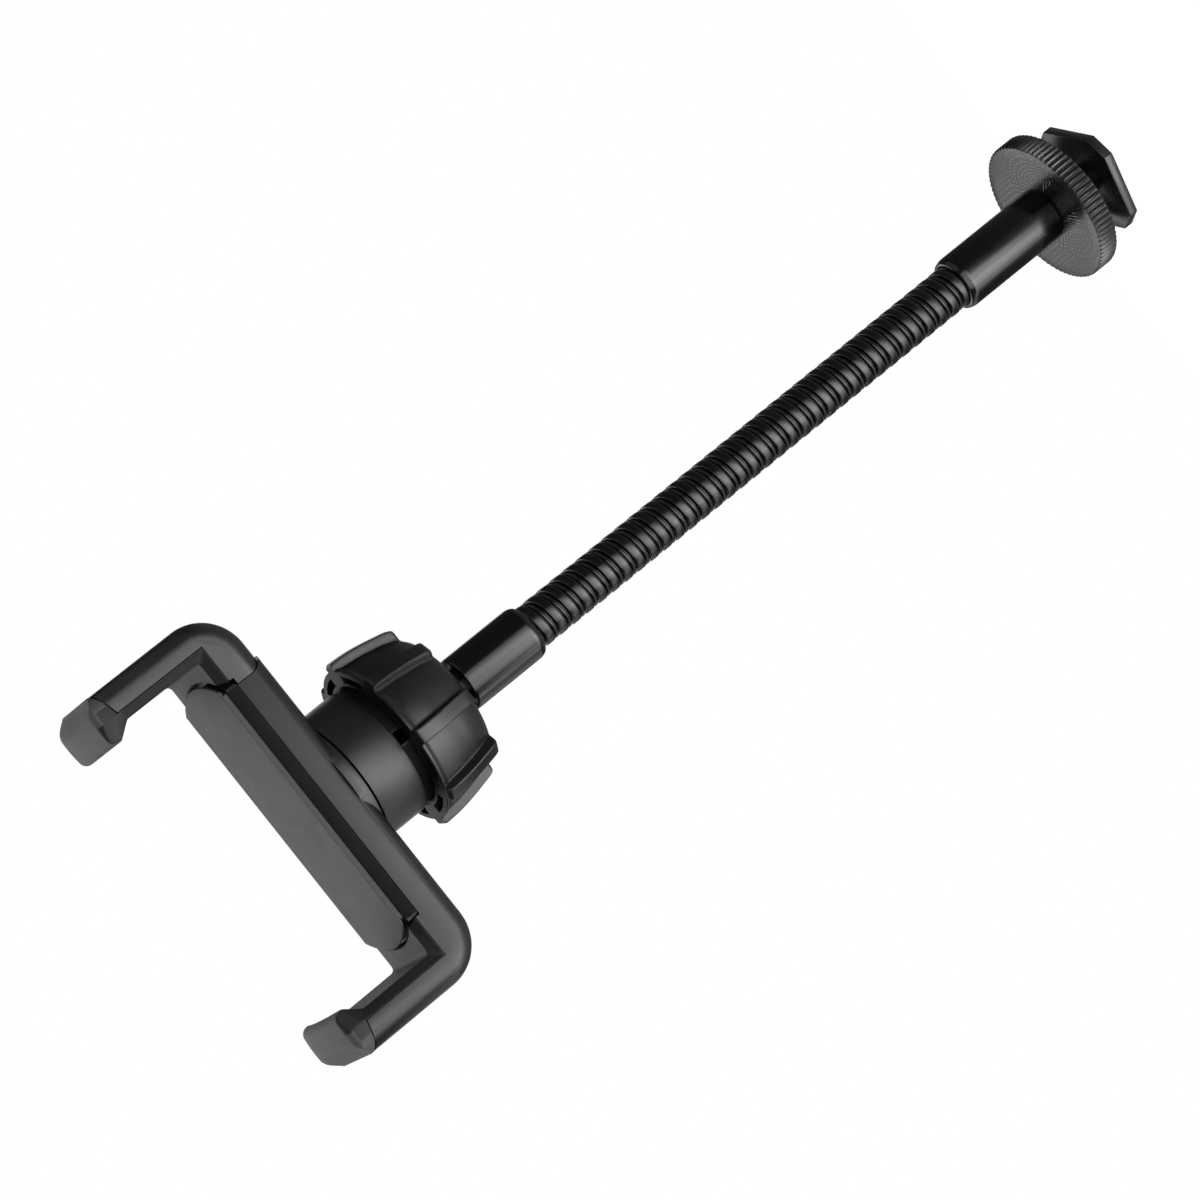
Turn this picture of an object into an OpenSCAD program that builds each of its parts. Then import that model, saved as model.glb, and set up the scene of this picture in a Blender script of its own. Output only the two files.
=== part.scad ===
// Gooseneck phone clamp with an accessory-shoe foot, in millimetres.
// +Z runs up the straight neck from the foot's underside at z = 0; the clamp's bar runs along X.
// The fixed arm is at -X, the sliding jaw at +X, both arms point up.

/* [Foot] */
// side of the square shoe plate
plate_w = 18.5; // [18:0.1:18.9]
// thickness of the shoe plate
plate_t = 1.9; // [1.6:0.1:2.2]
// leg cut off each corner of the plate
plate_cut = 3.2; // [1:0.1:4.5]
// turn of the plate about the neck, in degrees
plate_turn = -28; // [-45:1:45]
// diameter of the threaded stud
stud_d = 6.3; // [5.8:0.05:6.5]
// diameter of the stud's rivet head
stud_head_d = 9.2; // [8:0.1:11]
// thickness of the rivet head
stud_head_t = 1.2; // [0.8:0.1:1.3]
// diameter of the knurled nut over its teeth
nut_d = 25.4; // [20:0.5:30]
// thickness of the knurled nut
nut_t = 4.2; // [3:0.05:6]
// clear height between plate and knurled nut
rail_gap = 5.8; // [4.5:0.1:8]
// number of knurl teeth
nut_teeth = 78; // [40:1:90]
// depth of a knurl tooth
nut_tooth = 0.42; // [0.2:0.02:0.6]

/* [Ferrules] */
// outer diameter of both ferrules
ferrule_d = 10; // [9:0.1:12]
// length of the lower ferrule
lower_len = 22.4; // [20:0.1:30]
// length of the upper ferrule
upper_len = 15.45; // [15.2:0.05:24]
// rounding of a ferrule at its neck end
ferrule_round = 1.2; // [0.4:0.1:1.3]
// depth of the pocket that holds the neck's end
pocket_depth = 9; // [6:0.5:9]

/* [Neck] */
// diameter over the neck's wide turns
neck_d = 8.1; // [7:0.1:9]
// visible length of the neck between the ferrules
neck_len = 100.4; // [90:0.1:110]
// height of the first bend above the lower ferrule
first_bend = 4.86; // [3:0.01:6]
// height of the last bend below the upper ferrule
last_bend = 6.02; // [4:0.01:7]
// widest angle one bend can take, in degrees
bend_max = 12.6; // [8:0.2:14]

/* [Ball joint] */
// diameter of the ball
ball_d = 17; // [15:0.1:18]
// height of the ball's centre above the upper ferrule
ball_rise = 8.7; // [8:0.1:12]
// diameter of the shaft between ferrule and ball
shaft_d = 6.2; // [5:0.1:7]
// depth of the shaft's seat in the ferrule
shaft_seat = 6; // [4:0.5:7]
// diameter of the ring nut at its rim, without ribs
ring_d = 30.2; // [28:0.2:34]
// length of the ring nut
ring_len = 13.25; // [12:0.05:18]
// width of a rib
rib_w = 2.8; // [2:0.1:4]
// height of a rib over the rim
rib_h = 1.25; // [0.8:0.05:2]
// number of ribs
rib_count = 8; // [6:1:10]
// turn of the first rib from the front, in degrees
rib_turn = -7; // [-22:1:22]
// outer diameter of the socket's fingers
finger_d = 22.6; // [21:0.1:23]
// width of the slots between the fingers
slot_w = 2.4; // [1:0.1:3]
// diameter of the socket's collar
collar_d = 24.1; // [23:0.1:26]
// visible length of the collar
collar_len = 8.9; // [6:0.1:12]
// distance of the socket's screws from its axis
socket_screw_r = 9.2; // [8:0.1:9.4]
// diameter of the small screws' shanks
screw_d = 1.6; // [1.4:0.1:2]

/* [Clamp] */
// depth of the clamp's bar and arms
bar_w = 23; // [20:0.2:26]
// bar's thickness from back to pad surface
bar_t = 9.85; // [9.4:0.05:12]
// inner distance of the fixed arm's liner from the neck line
fixed_in = 30.15; // [28:0.05:34]
// inner distance of the closed jaw's liner from the neck line
jaw_in = 29.5; // [28:0.05:34]
// thickness of the arms with their liners
arm_t = 6.6; // [5.5:0.1:8]
// height of the fingertips above the pad surface
arm_h = 19.75; // [14:0.05:26]
// thickness of the rubber liners
liner_t = 1.7; // [1.2:0.1:2.2]
// height of the hard part of an arm, at its inner face
seam_h = 15.0; // [10:0.05:20]
// how far a fingertip hooks inwards
hook = 2.2; // [0:0.1:3]
// outer radius of the clamp's corners
corner_r = 8.5; // [6:0.5:9]
// rounding of the clamp's outer edges
edge_r = 3.2; // [1:0.1:3.6]
// how much higher the jaw's back lies than the housing's
jaw_lift = 0.5; // [0:0.05:1]
// slope cut off a fingertip's outer edge
tip_cut = 3.1; // [1:0.1:3.6]
// radius of the crown across the fingertips
crown_r = 60; // [40:1:120]
// distance of the housing's open end from the neck line
split_x = 23.5; // [22:0.1:26]
// half length of the pad at its middle
pad_half = 26.7; // [24:0.1:27]
// radius of the pad's rounded ends
pad_r = 22.4; // [18:0.2:40]
// width of the pad
pad_w = 22.3; // [18:0.1:24]
// thickness of the pad
pad_t = 1.45; // [1:0.05:1.8]
// thickness of the front cover
cover_t = 1.9; // [1.4:0.1:2.4]

/* [Jaw and spring] */
// width of the channel in which the jaw's tongue runs
channel_w = 19.2; // [16:0.2:20]
// height of that channel
channel_h = 4.9; // [4:0.1:5.2]
// play of the tongue on each side
play = 0.1; // [0.05:0.01:0.2]
// free space between the closed tongue's end and the cover screws' bosses
tongue_gap = 0.9; // [0.4:0.1:3]
// radius of the bosses that hold the cover screws
boss_r = 2.1; // [1.6:0.1:2.4]
// distance of the jaw's spring post from the neck line
spring_reach = 9.4; // [4:0.1:12]
// width of the slot in the tongue in which the spring lies
tongue_slot = 4.8; // [4:0.1:6]
// diameter of the spring's coil
spring_d = 3.3; // [2.4:0.1:3.6]
// diameter of the spring's wire
wire_d = 0.6; // [0.4:0.05:0.8]
// height of the spring posts
post_h = 3.6; // [3:0.1:4]

/* [Hidden] */
$fn = 96;
eps = 0.02;
fit = 0.05;

stud_r = stud_d / 2;
nut_z = plate_t + rail_gap;
lower_z = nut_z + nut_t + 0.05;
neck_z0 = lower_z + lower_len;
neck_z1 = neck_z0 + neck_len;
upper_top = neck_z1 + upper_len;
bend_z0 = neck_z0 + first_bend;
link_count = 15;
link_len = (neck_len - first_bend - last_bend) / link_count;
pitch = link_len / 2;
// heights on a turn, for a pitch of 2.984
k = pitch / 2.984;
bend_z1 = bend_z0 + link_count * link_len;
neck_r = neck_d / 2;
slope = tan(bend_max / 2);

ball_r = ball_d / 2;
ball_z = upper_top + ball_rise;
ring_z0 = ball_z - 5.45;
ring_z1 = ring_z0 + ring_len;
ring_r = ring_d / 2;
thread_r = finger_d / 2;
collar_r = collar_d / 2;
collar_z0 = ring_z1 + 1.5;
collar_z1 = collar_z0 + collar_len;

back_z = collar_z1;
pad_z = back_z + bar_t;
cover_z1 = pad_z - pad_t;
cover_z0 = cover_z1 - cover_t;
channel_z0 = cover_z0 - channel_h;
tip_z = pad_z + arm_h;
seam_z = pad_z + seam_h;
half_w = bar_w / 2;
fixed_out = fixed_in + arm_t;
jaw_out = jaw_in + arm_t;
liner_z = cover_z1 + 0.65;
liner_z0 = liner_z - 1.75;
tongue_z0 = channel_z0 + play;
tongue_z1 = cover_z0 - play;
spring_z = channel_z0 + spring_d / 2 + 0.2;
screw_r = screw_d / 2;
head_z = 1.15;
cover_screw_x = pad_half - 4.7;
cover_screw_y = channel_w / 2 - 1.6;
channel_x = cover_screw_x + boss_r - 0.1;
tongue_back = cover_screw_x - boss_r - tongue_gap;
bar_x = split_x - 3.5;
over = 2 * bar_t;
post_fixed_x = 0.1 - cover_screw_x;
post_jaw_x = spring_reach;

black_metal = [0.07, 0.07, 0.075];
black_plastic = [0.12, 0.12, 0.125];
black_rubber = [0.2, 0.2, 0.205];

// Foot

module shoe_plate() color(black_metal) {
  a = plate_w / 2;
  b = a - plate_cut;
  difference() {
    rotate([0, 0, plate_turn])
      linear_extrude(plate_t)
        polygon([[a, -b], [a, b], [b, a], [-b, a], [-a, b], [-a, -b], [-b, -a], [b, -a]]);
    translate([0, 0, -1]) cylinder(r = stud_r + fit, h = plate_t + 2);
    translate([0, 0, -1]) cylinder(d = stud_head_d + 2 * fit, h = stud_head_t + 1);
  }
}

module foot_stud() color(black_metal) {
  cylinder(d = stud_head_d, h = stud_head_t);
  cylinder(r = stud_r, h = lower_z + 8);
}

module lock_nut() color(black_metal) {
  r = nut_d / 2;
  step = 360 / nut_teeth;
  outline = [for (i = [0:nut_teeth - 1]) for (q = [[r, -0.18], [r, 0.18], [r - nut_tooth, 0.5]])
    [q[0] * cos((i + q[1]) * step), q[0] * sin((i + q[1]) * step)]];
  difference() {
    intersection() {
      translate([0, 0, nut_z]) linear_extrude(nut_t) polygon(outline);
      translate([0, 0, nut_z]) rotate_extrude()
        polygon([[0, 0], [r - 0.3, 0], [r + 0.05, 0.35], [r + 0.05, nut_t - 0.35],
          [r - 0.3, nut_t], [0, nut_t]]);
    }
    translate([0, 0, nut_z - 1]) cylinder(r = stud_r + fit, h = nut_t + 2);
  }
}

module lower_ferrule() color(black_metal) {
  r = ferrule_d / 2;
  difference() {
    translate([0, 0, lower_z]) rotate_extrude()
      polygon([[0, 0], [r - 0.2, 0], [r, 0.2], [r, lower_len - ferrule_round],
        [r - 0.08, lower_len - 0.78 * ferrule_round], [r - 0.3, lower_len - 0.4 * ferrule_round],
        [r - 0.6, lower_len - 0.12 * ferrule_round], [r - 0.9, lower_len], [0, lower_len]]);
    translate([0, 0, lower_z - 1]) cylinder(r = stud_r + fit, h = 9);
    translate([0, 0, neck_z0 - pocket_depth]) cylinder(r = neck_r + fit, h = pocket_depth + 1);
  }
}

// Neck: each link is two turns; its cone ends meet at the bend's centre

function turn(z) = [[neck_r - 0.32, z + 0.2 * k], [neck_r - 0.16, z + 0.32 * k],
  [neck_r - 0.1, z + 0.62 * k], [neck_r - 0.18, z + 0.9 * k], [neck_r - 0.32, z + 0.98 * k],
  [neck_r - 0.06, z + 1.12 * k], [neck_r, z + 1.6 * k], [neck_r, z + 2.3 * k],
  [neck_r - 0.06, z + 2.74 * k], [neck_r - 0.45, z + 2.88 * k]];

// a link's first turn starts on its cone
function first_turn() = concat([[0, 0], [neck_r - 0.3, (neck_r - 0.3) * slope],
  [neck_r - 0.12, neck_r * slope + 0.04]], [for (q = turn(0)) if (q[1] > 0.65 * k) q]);

// and its last one ends on the next cone
function last_turn(z, top) = [for (q = turn(z)) if (q[1] < top - neck_r * slope - 0.01) q];

module neck_link(i) color(black_metal)
  translate([0, 0, bend_z0 + (i - 1) * link_len]) rotate_extrude()
    polygon(concat(first_turn(), last_turn(pitch, link_len),
      [[neck_r - 0.02, link_len - neck_r * slope], [0, link_len]]));

module neck_root() color(black_metal) {
  n = first_bend + pocket_depth;
  translate([0, 0, neck_z0 - pocket_depth]) rotate_extrude()
    polygon(concat([[0, 0], [neck_r, 0]],
      [for (q = turn(n - 2 * pitch)) if (q[1] > n - 2 * pitch + 2 * k) q],
      last_turn(n - pitch, n), [[neck_r - 0.02, n - neck_r * slope], [0, n]]));
}

module neck_head() color(black_metal) {
  n = last_bend + pocket_depth;
  translate([0, 0, bend_z1]) rotate_extrude()
    polygon(concat(first_turn(), [for (q = turn(pitch)) if (q[1] < pitch + 1.3 * k) q],
      [[neck_r, n], [0, n]]));
}

// Ball joint

module upper_ferrule() color(black_metal) {
  r = ferrule_d / 2;
  n = upper_len;
  difference() {
    translate([0, 0, neck_z1]) rotate_extrude()
      polygon([[0, 0], [r - 0.9, 0], [r - 0.6, 0.12 * ferrule_round], [r - 0.3, 0.4 * ferrule_round],
        [r - 0.08, 0.78 * ferrule_round], [r, ferrule_round], [r, n - 0.35], [r - 0.35, n], [0, n]]);
    translate([0, 0, neck_z1 - 1]) cylinder(r = neck_r + fit, h = pocket_depth + 1);
    translate([0, 0, upper_top - shaft_seat]) cylinder(d = shaft_d + 2 * fit, h = shaft_seat + 1);
  }
}

module ball_stud() color(black_metal)
  translate([0, 0, upper_top - shaft_seat]) cylinder(d = shaft_d, h = ball_rise + shaft_seat + 0.52 * ball_r);

module ball() color(black_metal)
  difference() {
    translate([0, 0, ball_z]) sphere(r = ball_r, $fn = 128);
    translate([0, 0, ball_z - ball_r - 1]) cylinder(d = shaft_d + 2 * fit, h = ball_r + 1 + 0.52 * ball_r);
  }

module ring_nut() color(black_plastic)
  difference() {
    union() {
      translate([0, 0, ring_z0]) rotate_extrude()
        polygon([[6, 0], [ring_r - 4.9, 0], [ring_r - 4.0, 0.15], [ring_r - 3.3, 0.5], [ring_r - 2.6, 1.25],
          [ring_r - 2.1, 2.4], [ring_r - 1.55, 4.1], [ring_r - 1.15, 6.1], [ring_r - 0.75, 8.1],
          [ring_r - 0.5, 10.1], [ring_r - 0.25, 12.1], [ring_r, 12.7], [ring_r, ring_len], [6, ring_len]]);
      intersection() {
        translate([0, 0, ring_z0]) rotate_extrude()
          polygon([[9, 0.85], [ring_r - 2.0, 0.85], [ring_r - 1.4, 1.05], [ring_r - 0.9, 1.6],
            [ring_r - 0.35, 2.8], [ring_r + 0.2, 4.4], [ring_r + 0.7, 6.4], [ring_r + rib_h - 0.2, 8.6],
            [ring_r + rib_h - 0.05, 10.9], [ring_r + rib_h, ring_len - 0.15],
            [ring_r + rib_h - 0.15, ring_len], [9, ring_len]]);
        for (i = [0:rib_count - 1])
          rotate([0, 0, -90 + rib_turn + i * 360 / rib_count])
            translate([9, -rib_w / 2, ring_z0]) cube([ring_r, rib_w, ring_len]);
      }
    }
    translate([0, 0, ball_z]) sphere(r = ball_r + 0.1, $fn = 128);
    translate([0, 0, ring_z0]) rotate_extrude()
      polygon([[0, -1], [9.2, -1], [9.0, 0], [7.5, 1.2], [7.5, 3], [0, 3]]);
    translate([0, 0, ring_z0]) rotate_extrude()
      polygon([[0, 2.9], [9.3, 2.9], [thread_r + fit, 6.7], [thread_r + fit, ring_len - 0.9],
        [thread_r + 0.75, ring_len], [thread_r + 0.75, ring_len + 1], [0, ring_len + 1]]);
    for (i = [0:rib_count - 1])
      rotate([0, 0, -90 + rib_turn + (i + 0.5) * 360 / rib_count])
        difference() {
          intersection() {
            translate([0, 0, ring_z1 - 3.6]) cylinder(r = ring_r - 1.0, h = 4);
            linear_extrude(ring_z1 + 2) polygon([[0, 0], [20, -20 * tan(13)], [20, 20 * tan(13)]]);
          }
          translate([0, 0, ring_z1 - 4]) cylinder(r = thread_r + 1.35, h = 5);
        }
  }

module socket() color(black_plastic)
  difference() {
    union() {
      translate([0, 0, collar_z0]) rotate_extrude()
        polygon([[0, 0], [collar_r - 0.45, 0], [collar_r - 0.12, 0.13], [collar_r, 0.45],
          [collar_r, collar_len], [0, collar_len]]);
      translate([0, 0, ring_z0]) rotate_extrude()
        polygon([[0, 3.3], [9.15, 3.3], [thread_r, 6.9], [thread_r, ring_len + 2], [0, ring_len + 2]]);
      translate([0, 0, collar_z1 - 1]) cylinder(r = 6, h = 1 + channel_z0 - collar_z1 - 0.1);
    }
    translate([0, 0, ball_z]) sphere(r = ball_r + fit, $fn = 128);
    translate([0, 0, ball_z - ball_r - 3]) cylinder(r = ball_r - 0.5, h = ball_r);
    for (a = [0, 90])
      rotate([0, 0, a]) translate([-20, -slot_w / 2, ring_z0]) cube([40, slot_w, ring_len + 1.5]);
    for (a = [30, 150, 270])
      rotate([0, 0, a]) translate([socket_screw_r, 0, collar_z0 + 2]) cylinder(r = screw_r + fit, h = 20);
  }

// countersunk head and the recess it sits in
module screw_head() polygon([[0, 0], [screw_r, 0], [screw_r + 0.85, 0.85], [screw_r + 0.85, head_z - 0.1],
  [0, head_z - 0.1]]);
module screw_sink() polygon([[0, 0], [screw_r + fit, 0], [screw_r + 0.9, 0.85], [screw_r + 0.9, 2], [0, 2]]);

module socket_screws() color(black_metal)
  for (a = [30, 150, 270])
    rotate([0, 0, a]) {
      translate([socket_screw_r, 0, collar_z0 + 2.5])
        cylinder(r = screw_r, h = channel_z0 - head_z - collar_z0 - 2.5);
      translate([socket_screw_r, 0, channel_z0 - head_z])
        rotate_extrude() screw_head();
    }

// Clamp: one end's outer form is a section with rounded outer edges, run along the bar,
// round the corner and up the arm

module section() {
  translate([0, -half_w]) square([corner_r - edge_r, bar_w]);
  translate([0, -half_w + edge_r]) square([corner_r, bar_w - 2 * edge_r]);
  for (s = [-1, 1]) translate([corner_r - edge_r, s * (half_w - edge_r)]) circle(r = edge_r);
}

module arm_outline(out, from, back) {
  cx = out - corner_r;
  cz = back + corner_r;
  translate([from, 0, cz]) rotate([0, 90, 0]) linear_extrude(cx - from) section();
  intersection() {
    translate([cx, 0, cz]) rotate([90, 0, 0]) rotate_extrude() section();
    translate([cx, -half_w - 1, back - 1]) cube([corner_r + 2, bar_w + 2, corner_r + 1]);
  }
  translate([cx, 0, cz]) linear_extrude(tip_z - cz) section();
}

// hard part: everything outside the liner, cut off at the slanted seam, with a tenon for the tip
module hard_arm(out, from, back) {
  in = out - arm_t + liner_t;
  difference() {
    arm_outline(out, from, back);
    translate([from - 2, -half_w - 1, liner_z0]) cube([in - from + 2, bar_w + 2, 40]);
    translate([0, half_w + 1, 0]) rotate([90, 0, 0]) linear_extrude(bar_w + 2)
      polygon([[in - 2, seam_z - 0.5], [in, seam_z], [out, seam_z + 1.3], [out + 1, seam_z + 1.6],
        [out + 1, tip_z + 1], [in - 2, tip_z + 1]]);
  }
  translate([in + 1, -8.5, seam_z - 1]) cube([2.6, 17, 3]);
}

// rubber: floor strip, inner strip and hooked fingertip in one piece
module rubber_arm(out) {
  in = out - arm_t + liner_t;
  face = out - arm_t;
  w = half_w;
  difference() {
    union() {
      intersection() {
        arm_outline(out, bar_x, back_z + jaw_lift);
        translate([0, w + 1, 0]) rotate([90, 0, 0]) linear_extrude(bar_w + 2)
          polygon([[in, seam_z], [out, seam_z + 1.3], [out + 0.01, tip_z - tip_cut],
            [out - tip_cut, tip_z], [in, tip_z]]);
      }
      translate([0, w, 0]) rotate([90, 0, 0]) linear_extrude(bar_w)
        polygon([[bar_x, liner_z0], [in, liner_z0], [in, seam_z], [in + 0.5, seam_z + 0.2], [in + 0.5, tip_z],
          [face + 1, tip_z], [face - 0.45 * hook, tip_z - 0.2], [face - 0.8 * hook, tip_z - 0.6],
          [face - hook, tip_z - 1.3], [face - hook, tip_z - 1.7], [face, seam_z - 1],
          [face, liner_z + 0.8], [face - 0.3, liner_z + 0.25],
          [face - 0.9, liner_z], [bar_x, liner_z]]);
    }
    translate([in + 1 - eps, -8.5 - eps, seam_z - 2]) cube([2.6 + 2 * eps, 17 + 2 * eps, 4 + eps]);
    // crowned fingertip
    difference() {
      translate([bar_x, -w - 1, seam_z - 4]) cube([out, bar_w + 2, over]);
      translate([bar_x - 1, 0, tip_z - crown_r]) rotate([0, 90, 0])
        cylinder(r = crown_r, h = out + 2, $fn = 360);
    }
    // room for the pad's rounded end
    translate([pad_half - pad_r, 0, liner_z0 - 1]) cylinder(r = pad_r + 0.5, h = over);
    translate([0, -w - 1, liner_z0 - 1]) cube([split_x + 0.02, bar_w + 2, over]);
  }
}

module back_shell() color(black_plastic) {
  w = half_w;
  r = edge_r;
  difference() {
    union() {
      mirror([1, 0, 0]) hard_arm(fixed_out, -split_x, back_z);
      // disc against which the collar lies; it stands proud of the bar's sides
      translate([0, 0, back_z]) cylinder(r = collar_r, h = 2.2);
    }
    // everything under the cover and the fixed end's pad
    translate([-pad_half + pad_r, 0, cover_z0]) cylinder(r = pad_r + 0.5, h = over);
    translate([-pad_half + pad_r, -w - 1, cover_z0]) cube([2 * pad_half, bar_w + 2, over]);
    // channel
    translate([-channel_x, -channel_w / 2, channel_z0]) cube([2 * pad_half, channel_w, channel_h + over]);
    // socket's spigot and screws
    translate([0, 0, back_z - 5]) cylinder(r = 6 + fit, h = 10);
    for (a = [30, 150, 270]) rotate([0, 0, a]) {
      translate([socket_screw_r, 0, back_z - 3]) cylinder(r = screw_r + fit, h = 8);
      translate([socket_screw_r, 0, channel_z0 - head_z])
        rotate_extrude() screw_sink();
    }
  }
  // spring post and screw bosses in the channel
  translate([post_fixed_x, 0, channel_z0 - 0.5]) cylinder(r = 1.15, h = post_h + 0.5);
  difference() {
    for (s = [-1, 1]) translate([-cover_screw_x, s * cover_screw_y, channel_z0 - 0.5])
      cylinder(r = boss_r, h = channel_h + 0.5);
    for (s = [-1, 1]) translate([-cover_screw_x, s * cover_screw_y, channel_z0 + 0.5])
      cylinder(r = screw_r + fit, h = over);
  }
}

// outline with two rounded ends, shared by cover and pad
module pad_form(w, z, h) {
  intersection() {
    union() for (s = [-1, 1]) translate([s * (pad_half - pad_r), 0, z]) cylinder(r = pad_r, h = h);
    translate([-pad_half - 1, -w / 2, z - 1]) cube([2 * pad_half + 2, w, h + 2]);
  }
}

module front_cover() color(black_plastic)
  difference() {
    pad_form(bar_w, cover_z0, cover_t);
    for (s = [-1, 1]) {
      translate([-cover_screw_x, s * cover_screw_y, cover_z0 - 1]) cylinder(r = screw_r + fit, h = over);
      translate([-cover_screw_x, s * cover_screw_y, cover_z1 - head_z])
        rotate_extrude() screw_sink();
    }
  }

module cover_screws() color(black_metal)
  for (s = [-1, 1]) {
    translate([-cover_screw_x, s * cover_screw_y, channel_z0 + 1])
      cylinder(r = screw_r, h = cover_z1 - head_z - channel_z0 - 1);
    translate([-cover_screw_x, s * cover_screw_y, cover_z1 - head_z])
      rotate_extrude() screw_head();
  }

module pad() color(black_rubber) pad_form(pad_w, cover_z1, pad_t);

module fixed_liner() color(black_rubber)
  mirror([1, 0, 0]) rubber_arm(fixed_out);

module jaw() color(black_plastic) {
  difference() {
    hard_arm(jaw_out, split_x, back_z + jaw_lift);
    translate([pad_half - pad_r, 0, cover_z0 - play]) cylinder(r = pad_r + 0.5, h = over);
  }
  // tongue with its spring channel and post
  difference() {
    translate([-tongue_back, -channel_w / 2 + play, tongue_z0])
      cube([tongue_back + split_x + 0.1, channel_w - 2 * play, tongue_z1 - tongue_z0]);
    translate([-tongue_back - 1, -tongue_slot / 2, tongue_z0 - 1])
      cube([tongue_back + post_jaw_x + 3.6, tongue_slot, tongue_z1 - tongue_z0]);
  }
  translate([post_jaw_x, 0, tongue_z0 + 0.15]) cylinder(r = 1.15, h = tongue_z1 - tongue_z0 - 0.5);
}

module jaw_liner() color(black_rubber) rubber_arm(jaw_out);

module jaw_spring() color(black_metal) {
  r = spring_d / 2;
  n = 44;
  a = post_fixed_x + 2.0;
  b = post_jaw_x - 2.0;
  step = (b - a) / n;
  translate([a, 0, spring_z]) rotate([0, 90, 0]) rotate_extrude()
    polygon(concat([[r - wire_d, 0]], [for (i = [0:n - 1]) for (q = [[0.12, 0], [0, 0.5], [0.12, 1]])
      [r - q[0], (i + q[1]) * step]], [[r - wire_d, b - a]]));
  for (x = [post_fixed_x, post_jaw_x])
    translate([x, 0, spring_z]) rotate_extrude() translate([1.5, 0]) circle(r = wire_d / 2, $fn = 24);
  for (s = [-1, 1]) {
    x = s < 0 ? post_fixed_x + 1.5 : b - 0.1;
    translate([x, 0, spring_z]) rotate([0, 90, 0]) cylinder(r = wire_d / 2, h = 0.6);
    translate([s < 0 ? a : b - wire_d, 0, spring_z]) rotate([0, 90, 0]) cylinder(r = r - 0.3, h = wire_d);
  }
}

shoe_plate();
foot_stud();
lock_nut();
lower_ferrule();
neck_root();
neck_link(1);  // neck_link_01
neck_link(2);  // neck_link_02
neck_link(3);  // neck_link_03
neck_link(4);  // neck_link_04
neck_link(5);  // neck_link_05
neck_link(6);  // neck_link_06
neck_link(7);  // neck_link_07
neck_link(8);  // neck_link_08
neck_link(9);  // neck_link_09
neck_link(10);  // neck_link_10
neck_link(11);  // neck_link_11
neck_link(12);  // neck_link_12
neck_link(13);  // neck_link_13
neck_link(14);  // neck_link_14
neck_link(15);  // neck_link_15
neck_head();
upper_ferrule();
ball_stud();
ball();
ring_nut();
socket();
socket_screws();
back_shell();
front_cover();
cover_screws();
pad();
fixed_liner();
jaw();
jaw_liner();
jaw_spring();
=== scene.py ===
import bpy, bmesh
from math import sin, cos, pi, radians, sqrt, asin
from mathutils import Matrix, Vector


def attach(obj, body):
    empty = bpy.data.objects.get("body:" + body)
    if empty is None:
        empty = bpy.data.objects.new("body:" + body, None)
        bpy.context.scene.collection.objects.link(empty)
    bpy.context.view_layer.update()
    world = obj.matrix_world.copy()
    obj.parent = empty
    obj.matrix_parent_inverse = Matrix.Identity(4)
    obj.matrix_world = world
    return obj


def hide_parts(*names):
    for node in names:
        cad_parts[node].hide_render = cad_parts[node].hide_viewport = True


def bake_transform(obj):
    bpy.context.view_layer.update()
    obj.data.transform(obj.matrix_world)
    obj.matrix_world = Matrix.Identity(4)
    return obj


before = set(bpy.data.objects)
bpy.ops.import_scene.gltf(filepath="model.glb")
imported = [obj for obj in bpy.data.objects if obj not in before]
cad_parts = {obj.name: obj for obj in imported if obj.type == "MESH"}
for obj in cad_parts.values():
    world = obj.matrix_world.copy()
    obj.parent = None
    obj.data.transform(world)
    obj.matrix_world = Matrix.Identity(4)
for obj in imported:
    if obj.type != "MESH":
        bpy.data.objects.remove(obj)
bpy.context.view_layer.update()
scene = bpy.context.scene
mm = 0.001   # the dictionaries below are in millimetres, unless a note says otherwise
print("frame loaded")


def linear(code):
    # an sRGB hex code as linear colour
    parts = [int(code[i:i + 2], 16) / 255 for i in (1, 3, 5)]
    return [c / 12.92 if c <= 0.04045 else ((c + 0.055) / 1.055) ** 2.4 for c in parts] + [1.0]


def addNode(tree, kind, inputs=None, **settings):
    # inputs take a value or another node's socket
    made = tree.nodes.new(kind)
    for key, value in settings.items():
        setattr(made, key, value)
    for key, value in (inputs or {}).items():
        if isinstance(value, bpy.types.NodeSocket):
            tree.links.new(value, made.inputs[key])
        else:
            made.inputs[key].default_value = value
    return made


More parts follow.
